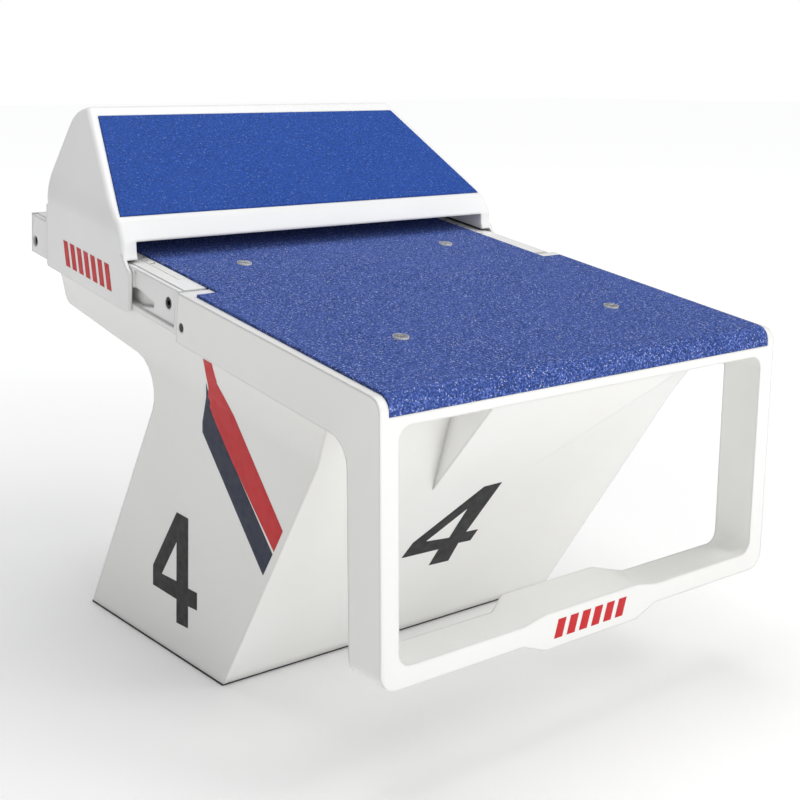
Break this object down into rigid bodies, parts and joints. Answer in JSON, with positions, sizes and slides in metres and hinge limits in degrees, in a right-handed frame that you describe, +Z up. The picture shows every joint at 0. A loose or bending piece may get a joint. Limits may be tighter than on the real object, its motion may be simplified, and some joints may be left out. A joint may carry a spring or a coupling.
{
  "type": "swimming starting block",
  "caption": "Sloped starting block with a non-slip tread, a front grab frame, a forward-leaning hollow pedestal and a sliding kick plate with a release bar.",
  "frame": {"origin": "on the pool deck, at the centre of the base and of its four anchor holes", "axes": "+X to the right of a swimmer facing the water, -Y towards the water, +Z up"},
  "size_m": [0.56, 0.737, 0.6409],
  "materials": {
    "white_gelcoat": "white gelcoat on glass-fibre moulding, semi-gloss, light scuffs",
    "white_moulding": "white moulded plastic, satin",
    "blue_grip": "blue non-slip coating with fine grit and pale flecks, matte",
    "galvanised_steel": "galvanised steel, dull grey",
    "stainless": "stainless steel, satin",
    "spring_steel": "spring wire, satin",
    "alloy": "mill-finish aluminium",
    "seal_rubber": "black rubber",
    "dark_plastic": "dark grey sliding plastic",
    "printed_strip": "printed white strip with numbered ticks"
  },
  "bodies": {
    "stand": {"ground_plate": "galvanised_steel", "foot_seal": "seal_rubber", "pedestal_shell": "white_gelcoat", "frame_posts": "galvanised_steel", "head_bars": "galvanised_steel", "deck_crossmembers": "alloy", "frame_bolts": "stainless", "foot_bolts": "stainless", "hatch_cover": "white_gelcoat", "hatch_seal": "seal_rubber", "hatch_screws": "stainless", "platform_shell": "white_gelcoat", "shoulder_screws": "stainless", "tread_board": "blue_grip", "tread_washers": "alloy", "tread_screws": "stainless", "tread_nuts": "stainless", "rail_left": "white_moulding", "rail_right": "white_moulding", "rail_end_caps": "white_moulding", "rail_screws": "stainless", "rail_nuts": "stainless", "position_scales": "printed_strip"},
    "kick_plate": {"kick_shell": "white_gelcoat", "kick_pad": "blue_grip", "slide_shoes": "dark_plastic", "foot_glides": "dark_plastic", "clamp_brackets": "stainless", "bracket_screws": "stainless", "pivot_pins": "stainless", "clamp_spring_left": "spring_steel", "clamp_spring_right": "spring_steel"},
    "release_bar": {"release_bar": "stainless"},
    "clamp_left": {"clamp_plunger_left": "dark_plastic"},
    "clamp_right": {"clamp_plunger_right": "dark_plastic"}
  },
  "joints": [
    {"name": "kick_slide", "type": "slide", "parent": "stand", "child": "kick_plate", "axis": [0, 0.989, 0.1478], "range_m": [-0.084, 0.056]},
    {"name": "release_lift", "type": "hinge", "parent": "kick_plate", "child": "release_bar", "pos_m": [0, 0.11081, 0.53268], "axis": [-1, 0, 0], "range_deg": [0, 6], "stiffness_Nm_per_rad": 8, "springref_deg": -5.73},
    {"name": "clamp_left_lift", "type": "slide", "parent": "kick_plate", "child": "clamp_left", "axis": [0, -0.1478, 0.989], "range_m": [0, 0.0028], "deforming": ["clamp_spring_left"]},
    {"name": "clamp_right_lift", "type": "slide", "parent": "kick_plate", "child": "clamp_right", "axis": [0, -0.1478, 0.989], "range_m": [0, 0.0028], "deforming": ["clamp_spring_right"]}
  ],
  "couplings": [
    {"joint": "clamp_left_lift", "follows": "release_lift", "m_per_rad": 0.025},
    {"joint": "clamp_right_lift", "follows": "release_lift", "m_per_rad": 0.025}
  ]
}
